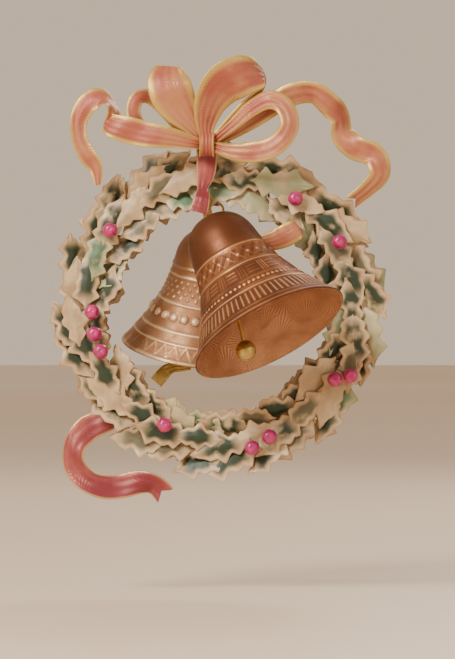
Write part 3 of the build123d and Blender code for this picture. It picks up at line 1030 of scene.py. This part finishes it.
# ---- holly --------------------------------------------------------------------------------------
@dataclass
class HollyWreath:
    """The twigs of holly round the ring, each with its own leaves and stem."""

    count: int = 14
    first_angle: float = 97.4
    outline: tuple[tuple[float, float], ...] = (
        (0.0, 0.05), (0.07, 0.13), (0.15, 0.45), (0.22, 0.82), (0.33, 0.58), (0.46, 1.0),
        (0.58, 0.64), (0.70, 0.86), (0.81, 0.42), (0.90, 0.24), (1.0, 0.0),
    )
    rows: tuple[tuple[float, ...], ...] = field(default_factory=lambda: (
        # along, out, depth, splay, roll, pitch, length, half width
        (-14, 6.0, 9.0, 11, 27, 4, 42, 13.0),
        (6, 7.0, 11.0, 7, 30, 0, 35, 11.5),
        (-12, -5.0, 9.0, -18, -27, 4, 36, 11.0),
        (7, -6.5, 10.5, -29, -30, 0, 30, 10.0),
        (-8, 0.5, 13.0, 6, 4, 3, 39, 11.0),
        (9, -1.5, 13.5, -8, -6, 2, 34, 9.5),
    ))
    back_rows: int = 4
    # how far the inner leaves of some twigs are drawn outwards, to leave room for a bell's mouth
    eased: dict[int, float] = field(default_factory=lambda: {4: 4.5, 10: 8.5})
    stem_depth: float = 3.3
    camber: float = 16.0
    leaf: Piece | None = None

    def half_width(self, t: float) -> float:
        """Gives the leaf's relative half width.

        Args:
            t: Place along the leaf, from 0 to 1.

        Returns:
            The half width, as a share of the widest.
        """
        for (a, wa), (b, wb) in zip(self.outline, self.outline[1:]):
            if t <= b:
                return wa + (wb - wa) * (t - a) / (b - a)
        return 0.0

    def model_leaf(self) -> Piece:
        """Models one leaf, 1 long and with half width 1, cupped, veined and with raised spines.

        Returns:
            The leaf that the others are copied from.
        """
        leaf = new_grid("holly_leaf_pattern", 10, 34)
        for vertex in leaf.data.vertices:
            u, t = vertex.co.x, (vertex.co.y + 1) / 2
            width = self.half_width(t)
            spine = abs(math.sin(math.pi * (t * 4.2 - 0.42)))
            cup = -0.16 * u * u * width + 0.05 * abs(u) ** 3 * spine
            midrib = 0.028 * math.exp(-((u / 0.16) ** 2))
            arch = 0.05 * math.sin(math.pi * t) - 0.07 * t * t
            veins = 0.012 * math.cos(2 * math.pi * (t * 7 - abs(u) * 1.4)) * abs(u)
            vertex.co = Vector((u * width, t, cup + midrib + arch + veins))
        return leaf

    def copy_leaf(self, name: str, matrix: Matrix, chance: random.Random) -> Piece:
        """Copies the leaf to its place, with its own mesh, bends and tones.

        Args:
            name: The copy's name.
            matrix: Its place, turn and size.
            chance: Where the random draws come from.

        Returns:
            The copy.
        """
        mesh = self.leaf.data.copy()
        leaf = bpy.data.objects.new(name, mesh)
        bpy.context.scene.collection.objects.link(leaf)
        width_phase, drift_phase = chance.uniform(0, 1), chance.uniform(0, 1)
        curl, twist = chance.uniform(-0.10, 0.10), chance.uniform(-0.14, 0.14)
        for vertex in mesh.vertices:
            x, t, z = vertex.co
            swell = 1 + 0.17 * math.sin(2 * math.pi * (t * 2.3 + width_phase)) - 0.08
            drift = 0.07 * math.sin(2 * math.pi * (t * 1.2 + drift_phase)) * t * (1 - t) * 4
            z += curl * t * t + twist * x * t + 0.03 * math.sin(9 * t + 6 * width_phase) * abs(x)
            vertex.co = (x * swell + drift, t, z)
        mesh.transform(matrix)
        count = len(mesh.vertices)
        paint(leaf, "tone", [chance.choice((0.15, 0.8, 1.0, 1.0, 1.0))] * count)
        paint(leaf, "mint", [chance.choice((0.0, 0.0, 0.0, 0.0, 0.0, 0.0, 0.5))] * count)
        return leaf

    def directions(self, number: int, side: int) -> tuple[Vector, Vector, Vector]:
        """Gives a twig's directions.

        Args:
            number: The twig's number, from 0.
            side: 1 before the ring, -1 behind it.

        Returns:
            Away from the ring's centre, onwards round the ring, and away from the ring's plane.
        """
        angle = math.radians(self.first_angle - number * 360 / self.count)
        outward = Vector((math.cos(angle), 0, math.sin(angle)))
        onward = Vector((math.sin(angle), 0, -math.cos(angle)))
        return outward, onward, Vector((0, -side, 0))

    def twig(self, number: int, side: int, chance: random.Random) -> list[Piece]:
        """Lays one twig's leaves on one side of the ring.

        Args:
            number: The twig's number, from 0.
            side: 1 before the ring, -1 behind it.
            chance: Where the random draws come from.

        Returns:
            The leaves.
        """
        outward, onward, forward = self.directions(number, side)
        origin = RING_CENTRE + outward * RING_RADIUS
        rows = self.rows if side > 0 else self.rows[:self.back_rows]
        leaves = []
        for along, out, depth, splay, roll, pitch, length, half in rows:
            jitter = [chance.uniform(-1, 1) for _ in range(5)]
            if out < 0:
                out += self.eased.get(number, 0.0)
            turn = math.radians(splay + 7 * jitter[0])
            ahead = onward * math.cos(turn) + outward * math.sin(turn)
            lift = math.radians(pitch + 4 * jitter[1])
            ahead = (ahead * math.cos(lift) + forward * math.sin(lift)).normalized()
            across = ahead.cross(forward).normalized()
            normal = across.cross(ahead)
            tilt = Matrix.Rotation(math.radians(roll + 6 * jitter[2]) * side, 3, ahead)
            across, normal = tilt @ across, tilt @ normal
            if normal.dot(forward) < 0:
                across, normal = -across, -normal
            base = origin + (onward * (along + jitter[3]) + outward * out) * MM
            base += forward * (depth + 0.5 * jitter[4]) * MM
            size = 1 + 0.06 * jitter[0]
            columns = (
                across * half * size * MM, ahead * length * size * MM, normal * self.camber * MM
            )
            matrix = Matrix([[c[i] for c in columns] for i in range(3)]).to_4x4()
            matrix.translation = base
            leaves.append(self.copy_leaf(f"leaf_{number}_{len(leaves)}_{side}", matrix, chance))
        return leaves

    def stems(self, number: int, side: int) -> Piece:
        """Makes a twig's stem and the stalks of its leaves, along one side of the ring.

        Args:
            number: The twig's number, from 0.
            side: 1 before the ring, -1 behind it.

        Returns:
            The stem with its stalks.
        """
        outward, onward, forward = self.directions(number, side)
        core = RING_CENTRE + outward * RING_RADIUS + forward * self.stem_depth * MM
        parts = [rod(core - onward * 16 * MM, core + onward * 9 * MM, 1.6, 1.1, 10)]
        for along, out, depth, *_ in self.rows[:self.back_rows]:
            foot = core + onward * min(along - 2, 7) * MM
            rise = forward * (depth - self.stem_depth)
            head = core + (onward * (along + 1) + outward * out + rise) * MM
            parts.append(rod(foot, head, 0.8, 0.6, 8))
        return merge(f"stems_{number}_{side}", parts)

    def build(self, finishes: Finishes) -> None:
        """Builds every twig and puts it on the wreath; the top one has no leaves behind.

        Args:
            finishes: The shared finishes.
        """
        chance = random.Random(SEED)
        self.leaf = self.model_leaf()
        for number in range(self.count):
            node = f"holly_sprig_{number + 1:02d}"
            sides = (1, -1) if number else (1,)
            leaves = [leaf for side in sides for leaf in self.twig(number, side, chance)]
            blades = merge(f"{node}_leaves", leaves)
            use_modifier(blades, "SOLIDIFY", thickness=0.7 * MM, offset=0.0)
            smooth(blades, 55)
            clad(blades, finishes.leaf)
            settle(blades, "wreath", [node])
            stems = merge(f"{node}_stem", [self.stems(number, side) for side in sides])
            clad(stems, finishes.wood)
            settle(stems, "wreath")
        bpy.data.objects.remove(self.leaf)


@dataclass
class BerryPicks:
    """The lacquered berries, each with a dimpled crown, on their wires."""

    radius: float = 4.8
    depth: float = 20.5
    knee_depth: float = 17.0
    heel_depth: float = 6.0
    picks: dict[str, tuple[tuple[float, float], ...]] = field(default_factory=lambda: {
        "berry_pick_upper_left": ((-69.0, 50.5),),
        "berry_pick_upper_right": ((48.5, 70.5), (76.5, 43.0)),
        "berry_pick_left": ((-80.5, -1.5), (-79.0, -15.5), (-75.0, -26.5)),
        "berry_pick_lower_right": ((73.5, -44.0), (83.5, -42.0)),
        "berry_pick_lower_left": ((-34.5, -73.0),),
        "berry_pick_bottom": ((32.0, -80.5), (21.0, -87.5)),
    })

    def berry(self, centre: Vector) -> Piece:
        """Makes one berry with a dimple towards the viewer and slight lobes.

        Args:
            centre: Its middle.

        Returns:
            The berry.
        """
        radius = self.radius * MM
        sphere = bpy.ops.mesh.primitive_uv_sphere_add
        ball = add(sphere, "berry", segments=32, ring_count=20, radius=radius)
        for vertex in ball.data.vertices:
            up = vertex.co.z / radius
            dimple = 0.16 * math.exp(-((1 - up) / 0.05))
            lobes = 0.02 * math.cos(5 * math.atan2(vertex.co.y, vertex.co.x)) * (1 - up * up)
            vertex.co *= 1 - (dimple + lobes)
        ball.data.transform(Matrix.Translation(centre) @ Matrix.Rotation(math.radians(80), 4, "X"))
        return ball

    def build(self, finishes: Finishes) -> None:
        """Builds every pick and puts it on the wreath.

        Args:
            finishes: The shared finishes.
        """
        for name, spots in self.picks.items():
            balls, wires = [], []
            for right, up in spots:
                inward = RING_RADIUS / MM / math.hypot(right, up)
                head = place(right, up, self.depth)
                knee, heel = (place(right * inward, up * inward, depth)
                              for depth in (self.knee_depth, self.heel_depth))
                balls.append(self.berry(head))
                wires += [rod(head, knee, 0.6, 0.5, 8), rod(knee, heel, 0.5, 0.45, 8)]
            berries = merge(f"{name}_berries", balls)
            smooth(berries, 80)
            clad(berries, finishes.berry)
            settle(berries, "wreath", [name])
            stalks = merge(f"{name}_wires", wires)
            clad(stalks, finishes.wire)
            settle(stalks, "wreath")


# ---- bells --------------------------------------------------------------------------------------
@dataclass
class Bell:
    """One embossed bell, its clapper ball and, on the rear bell, the gilt tab.

    Heights on the profile, ridges and bands are shares of the bell's height above its mouth. A
    turn is a share of the way round it. Relief is in millimetres.
    """

    side: Side
    around: int = 400
    outer_rows: int = 165
    lip_rows: int = 6
    inner_rows: int = 26
    wall: float = 1.6
    crown_drop: float = 9.4
    ridge_width: float = 0.75
    profile: tuple[tuple[float, float], ...] = (
        (1.0, 0.0), (0.905, 0.075), (0.82, 0.16), (0.715, 0.26), (0.62, 0.38), (0.55, 0.47),
        (0.50, 0.57), (0.47, 0.66), (0.45, 0.74), (0.42, 0.83), (0.355, 0.91), (0.25, 0.97),
        (0.117, 1.0), (0.032, 1.0),
    )
    ridges: tuple[tuple[float, float], ...] = field(init=False)
    bands: tuple[tuple[float, float, Pattern], ...] = field(init=False)
    outline: list[list[float]] = field(init=False)
    pivot: Vector = field(init=False)
    down: Vector = field(init=False)
    radius: float = field(init=False)
    height: float = field(init=False)

    def __post_init__(self) -> None:
        """Reads the bell's place and size from the frame and picks its relief."""
        name = self.side.value
        self.pivot = JOINTS[f"{name}_bell_swing"]
        self.down = (JOINTS[f"{name}_clapper_swing"] - self.pivot).normalized()
        points = [v.co - self.pivot for v in frame["nodes"][f"{name}_bell_shell"].data.vertices]
        self.height = max(point.dot(self.down) for point in points) / MM - self.crown_drop
        self.radius = max(
            (point - self.down * point.dot(self.down)).length for point in points) / MM
        self.outline = [curve_point(self.profile, 1 - i / self.outer_rows)
                        for i in range(self.outer_rows + 1)]
        if self.side is Side.FRONT:
            self.ridges = ((0.012, 0.45), (0.052, 0.4), (0.208, 0.6), (0.232, 0.25), (0.3, 0.3),
                           (0.452, 0.5), (0.472, 0.25), (0.603, 0.25), (0.62, 0.5))
            self.bands = ((0.065, 0.19, self.flutes), (0.24, 0.30, self.fine_beads),
                          (0.315, 0.437, self.stroke_blocks), (0.484, 0.592, self.lattice))
        else:
            self.ridges = ((0.015, 0.45), (0.13, 0.6), (0.215, 0.6), (0.42, 0.6), (0.63, 0.55),
                           (0.70, 0.55))
            self.bands = ((0.03, 0.12, self.chevrons), (0.24, 0.40, self.large_beads),
                          (0.44, 0.61, self.small_dots))

    @staticmethod
    def near(value: float, count: float) -> float:
        """Gives how far a value is from its nearest whole step of 1/count, from -0.5 to 0.5."""
        scaled = value * count
        return scaled - round(scaled)

    def outer(self, h: float) -> float:
        """Reads the plain profile's radius at a height, in millimetres.

        Args:
            h: The height.

        Returns:
            The radius.
        """
        share = self.profile[-1][0]
        for (ra, ha), (rb, hb) in zip(self.profile, self.profile[1:]):
            if h <= hb and hb > ha:
                share = ra + (rb - ra) * (h - ha) / (hb - ha)
                break
        return share * self.radius

    def dot(self, turn: float, h: float, at: float, count: int, size: float) -> float:
        """Gives the relief of a row of round beads.

        Args:
            turn: Place round the bell.
            h: The height.
            at: The height of the beads' middles.
            count: How many there are.
            size: Their radius, in millimetres.

        Returns:
            The relief.
        """
        dx = self.near(turn, count) / count * 2 * math.pi * self.outer(h)
        dy = (h - at) * self.height * 1.12
        square = 1 - (dx * dx + dy * dy) / (size * size)
        return size * 0.55 * math.sqrt(square) if square > 0 else 0.0

    def flutes(self, turn: float, _: float, row: float) -> float:
        """Gives upright flutes that fade at the band's edges."""
        ease = min(1.0, row * 12.5, (1 - row) * 12.5)
        return 0.5 * ease * max(0.0, math.cos(2 * math.pi * turn * 76)) ** 0.6

    def fine_beads(self, turn: float, h: float, _: float) -> float:
        """Gives a row of small beads."""
        return self.dot(turn, h, 0.266, 70, 1.3)

    def stroke_blocks(self, turn: float, _: float, row: float) -> float:
        """Gives blocks of four strokes, upright and level by turns.

        Args:
            turn: Place round the bell.
            row: Place up the band, from 0 to 1.

        Returns:
            The relief.
        """
        cell = turn * 28
        local = cell - math.floor(cell)
        across = row if math.floor(cell) % 2 else local
        inside = min(1.0, local / 0.06, (1 - local) / 0.06, row / 0.08, (1 - row) / 0.08)
        return 0.4 * max(0.0, math.cos(2 * math.pi * across * 4)) * max(0.0, inside)

    def lattice(self, turn: float, h: float, row: float) -> float:
        """Gives a lattice of double lines with a dot in each diamond.

        Args:
            turn: Place round the bell.
            h: The height.
            row: Place up the band, from 0 to 1.

        Returns:
            The relief.
        """
        rising = abs(self.near(turn * 24 + row, 1))
        falling = abs(self.near(turn * 24 - row, 1))
        lines = max(0.0, 1 - min(rising, falling, abs(rising - 0.2)) / 0.09)
        return max(0.4 * lines, self.dot(turn + 0.5 / 24, h, 0.538, 24, 1.2))

    def chevrons(self, turn: float, _: float, row: float) -> float:
        """Gives a zigzag with a fainter one inside it.

        Args:
            turn: Place round the bell.
            row: Place up the band, from 0 to 1.

        Returns:
            The relief.
        """
        zig = abs(self.near(turn, 34)) * 2
        lines = max(0.0, 1 - abs(zig - row) / 0.16)
        inner = max(0.0, 1 - abs(zig * 0.6 - row + 0.35) / 0.12)
        return 0.42 * max(lines, 0.7 * inner)

    def large_beads(self, turn: float, h: float, _: float) -> float:
        """Gives a row of large beads."""
        return self.dot(turn, h, 0.32, 27, 2.8)

    def small_dots(self, turn: float, h: float, _: float) -> float:
        """Gives four rows of small dots, each row half a step on from the last."""
        return max(self.dot(turn + 0.5 / 30 * (i % 2), h, 0.465 + 0.04 * i, 30, 0.95)
                   for i in range(4))

    def relief(self, turn: float, h: float) -> float:
        """Gives the raised height of the outside.

        Args:
            turn: Place round the bell.
            h: The height.

        Returns:
            The ridges and the band there, together.
        """
        rise = sum(tall * math.exp(-(((h - at) * self.height / self.ridge_width) ** 2))
                   for at, tall in self.ridges)
        for low, high, pattern in self.bands:
            if low < h < high:
                rise += pattern(turn, h, (h - low) / (high - low))
        return rise

    def section(self, turn: float, row: float) -> tuple[float, float, float]:
        """Follows the wall from the crown down the outside, round the lip and up the inside.

        Args:
            turn: Place round the bell.
            row: Place along the wall, in rows from the crown.

        Returns:
            The radius, the height above the mouth and the relief, in millimetres.
        """
        under, inside = row - self.outer_rows, row - self.outer_rows - self.lip_rows
        if under <= 0:
            share, h = self.outline[min(int(round(row)), self.outer_rows)]
            lift = self.relief(turn % 1.0, h) if h < 0.995 else 0.0
            return share * self.radius + lift, h * self.height, lift
        if inside <= 0:
            angle = math.pi * under / self.lip_rows
            radius = self.radius - self.wall / 2 + math.cos(angle) * self.wall / 2
            return radius, -math.sin(angle) * self.wall * 0.4, 0.0
        if inside <= self.inner_rows:
            share, h = curve_point(self.profile, inside / self.inner_rows)
            radius = max(share * self.radius - self.wall, self.profile[-1][0] * self.radius)
            return radius, h * (self.height - self.wall), 0.0
        share, h = self.outline[0]
        return share * self.radius, h * self.height, 0.0

    def shell(self, finishes: Finishes) -> None:
        """Builds the bell's wall, outside, lip and inside, as one closed surface.

        Args:
            finishes: The shared finishes.
        """
        rows = self.outer_rows + self.lip_rows + self.inner_rows + 1
        name = f"{self.side.value}_bell_shell"
        piece = new_grid(f"{name}_embossed", self.around, rows)
        aside = self.down.orthogonal().normalized()
        other = self.down.cross(aside)
        raised, crown_shade = [], []
        for vertex in piece.data.vertices:
            turn = (vertex.co.x + 1) / 2
            radius, level, lift = self.section(turn, (vertex.co.y + 1) / 2 * rows)
            angle = 2 * math.pi * turn
            spread = aside * math.cos(angle) + other * math.sin(angle)
            depth = self.crown_drop + self.height - level
            vertex.co = self.pivot + self.down * (depth * MM) + spread * (radius * MM)
            # The relief weights drive painted shade in the recesses and painted highlights on the
            # ridges; the crown weights drive painted shade over the top of the bell.
            raised.append(min(1.0, lift / 0.6))
            crown_shade.append(min(1.0, max(0.0, (level / self.height - 0.6) / 0.12)))
        paint(piece, "relief", raised)
        paint(piece, "crown", crown_shade)
        close_seams(piece, 2e-6)
        smooth(piece, 50)
        front = self.side is Side.FRONT
        clad(piece, finishes.bronze if front else finishes.rose_bronze, finishes.bronze_inside)
        self.line_inside(piece)
        settle(piece, f"{self.side.value}_bell", [name])

    def line_inside(self, piece: Piece) -> None:
        """Gives the inner faces their own material.

        Args:
            piece: The bell's wall.
        """
        mouth = self.crown_drop + self.height
        for face in piece.data.polygons:
            from_axis = face.center - self.pivot
            depth = from_axis.dot(self.down)
            inward = (from_axis - self.down * depth).dot(face.normal) < 0
            face.material_index = 1 if inward and depth / MM < mouth + 1 else 0

    def ball(self, finishes: Finishes) -> None:
        """Builds the clapper ball, with a raised seam round it and a boss where the rod enters.

        Args:
            finishes: The shared finishes.
        """
        name = f"{self.side.value}_clapper_ball"
        low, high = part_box(name)
        centre, radius = (low + high) / 2, (high - low).x / 2
        up = (JOINTS[f"{self.side.value}_clapper_swing"] - centre).normalized()
        sphere = bpy.ops.mesh.primitive_uv_sphere_add
        piece = add(sphere, f"{name}_seamed", segments=56, ring_count=44, radius=radius)
        for vertex in piece.data.vertices:
            level = vertex.co.z / radius
            seam = 0.05 * math.exp(-((level / 0.05) ** 2))
            boss = 0.08 * math.exp(-((1 - level) / 0.02))
            vertex.co *= 0.975 + (seam + boss) * 0.5
        turn = up.to_track_quat("Z", "Y").to_matrix().to_4x4()
        piece.data.transform(Matrix.Translation(centre) @ turn)
        smooth(piece, 60)
        clad(piece, finishes.gilt)
        settle(piece, f"{self.side.value}_clapper", [name])

    def tab(self, finishes: Finishes) -> None:
        """Builds the folded gilt tab under the rear clapper: a bar, a fold and a slanting blade.

        Args:
            finishes: The shared finishes.
        """
        ball = middle_of("rear_clapper_ball")
        depth = distance(ball).z
        # right, up, forward of the ball, width
        route = [(-18.5, -36.4, 1.6, 4.6), (-24, -37.0, 0.8, 5.4), (-30, -37.4, 0.3, 6.4),
                 (-34, -39.0, -0.2, 8.0), (-37.4, -42.6, 0, 8.8), (-41.3, -47.0, 0.4, 9.0)]
        steps = 40
        piece = new_grid("folded_tab", 6, steps)
        points = [curve_point(route, i / steps) for i in range(steps + 1)]
        for vertex in piece.data.vertices:
            u, i = vertex.co.x, int(round((vertex.co.y + 1) / 2 * steps))
            a, b = points[max(i - 1, 0)], points[min(i + 1, steps)]
            run = Vector((b[0] - a[0], b[1] - a[1])).normalized()
            right, up, forward, width = points[i]
            rib = 0.18 * math.cos(3 * math.pi * u)
            shift = u * width / 2
            vertex.co = place(right - run.y * shift, up + run.x * shift, depth + forward + rib)
        use_modifier(piece, "SOLIDIFY", thickness=0.8 * MM, offset=0.0)
        use_modifier(piece, "BEVEL", width=0.15 * MM, segments=1, limit_method="ANGLE")
        hook = rod(ball, Vector((ball.x, ball.y, place(0, route[0][1], 0).z)), 0.8, 0.8, 12)
        piece = merge("rear_clapper_tab_folded", [piece, hook])
        smooth(piece, 40)
        clad(piece, finishes.gilt)
        settle(piece, "rear_clapper", ["rear_clapper_tab"])

    def build(self, finishes: Finishes) -> None:
        """Builds the bell's new pieces.

        Args:
            finishes: The shared finishes.
        """
        self.shell(finishes)
        self.ball(finishes)
        if self.side is Side.REAR:
            self.tab(finishes)


@dataclass
class Hardware:
    """The CAD pieces that keep their shape: wire, link rings, bolts, washers, nuts and rods."""

    gilt: tuple[str, ...] = ("link_ring", "hanger_bolt", "washer", "nut", "clapper_rod")
    wire: tuple[str, ...] = ("wire_ring", "binding_wire")

    def dress(self, finishes: Finishes) -> None:
        """Gives each kept node its finish.

        Args:
            finishes: The shared finishes.
        """
        names = [f"{side.value}_{part}" for side in Side for part in self.gilt] + ["hanger_tab"]
        for name in names:
            clad(frame["nodes"][name], finishes.gilt)
        for name in self.wire:
            clad(frame["nodes"][name], finishes.wire)
        LOG.info("dressed %d kept nodes", len(names) + len(self.wire))


@dataclass(frozen=True)
class Lamp:
    """A soft square light: where it stands, its size, its power and its tint."""

    name: str
    spot: tuple[float, float, float]
    size: float
    power: float
    tint: Colour

    def build(self, target: Vector) -> None:
        """Adds the light.

        Args:
            target: The point that it faces.
        """
        light = bpy.data.lights.new(self.name, "AREA")
        light.shape, light.size = "SQUARE", self.size
        light.energy, light.color = self.power, self.tint
        lamp = bpy.data.objects.new(self.name, light)
        bpy.context.scene.collection.objects.link(lamp)
        lamp.location = self.spot
        lamp.rotation_euler = (target - lamp.location).to_track_quat("-Z", "Y").to_euler()


@dataclass
class Studio:
    """A plain pale floor, soft lights and the camera."""

    floor_drop: float = 0.06
    distance: float = 2.35
    tall_view: float = 0.4218
    film: float = 36.0
    aim: tuple[float, float] = (1.4, -105.5)
    sky: Colour = (0.95, 0.75, 0.56)
    sky_strength: float = 0.76
    lamps: tuple[Lamp, ...] = (
        Lamp("key", (-0.9, -1.3, 0.9), size=0.6, power=44.0, tint=(1.0, 0.95, 0.87)),
        Lamp("fill", (1.3, -1.2, 0.1), size=1.2, power=6.0, tint=(1.0, 0.97, 0.94)),
        Lamp("rim", (0.6, 1.4, 1.0), size=0.9, power=16.0, tint=(1.0, 0.98, 0.95)),
    )

    def floor(self) -> None:
        """Adds the floor, with a faint grain."""
        spot = (0, 0, CAD_BOX[0][2] - self.floor_drop)
        floor = add(bpy.ops.mesh.primitive_plane_add, "floor", size=30, location=spot)
        fix_place(floor)
        shader = Shader("pale_floor")
        noise = shader.node("TexNoise", {"Scale": 6.0})
        clad(floor, shader.finish(
            {"Base Color": (0.72, 0.58, 0.44), "Roughness": noise.outputs["Fac"]}))

    def world(self) -> None:
        """Adds a warm even sky."""
        world = bpy.data.worlds.new("soft_world")
        world.use_nodes = True
        sky = world.node_tree.nodes["Background"].inputs
        sky["Color"].default_value = (*self.sky, 1)
        sky["Strength"].default_value = self.sky_strength
        bpy.context.scene.world = world

    def camera(self) -> None:
        """Adds the camera, straight in front."""
        lens = bpy.data.cameras.new("camera")
        lens.sensor_width = self.film
        lens.lens = self.film * self.distance / self.tall_view
        lens.clip_end = 60.0
        eye = bpy.data.objects.new("camera", lens)
        bpy.context.scene.collection.objects.link(eye)
        eye.location = (self.aim[0] * MM, -self.distance, self.aim[1] * MM)
        eye.rotation_euler = (math.pi / 2, 0, 0)
        bpy.context.scene.camera = eye

    def build(self) -> None:
        """Builds the floor, world, lights and camera."""
        self.floor()
        self.world()
        for lamp in self.lamps:
            lamp.build(Vector((0, 0, self.aim[1] * MM)))
        self.camera()


def main() -> None:
    """Builds every sub-assembly in order."""
    logging.basicConfig(level=logging.INFO, format="%(message)s")
    Studio().build()
    finishes = Finishes()
    Hardware().dress(finishes)
    for side in Side:
        Bell(side).build(finishes)
    HollyWreath().build(finishes)
    BerryPicks().build(finishes)
    Bow().build(finishes)
    StrapRibbons().build(finishes)


if __name__ == "__main__":
    main()
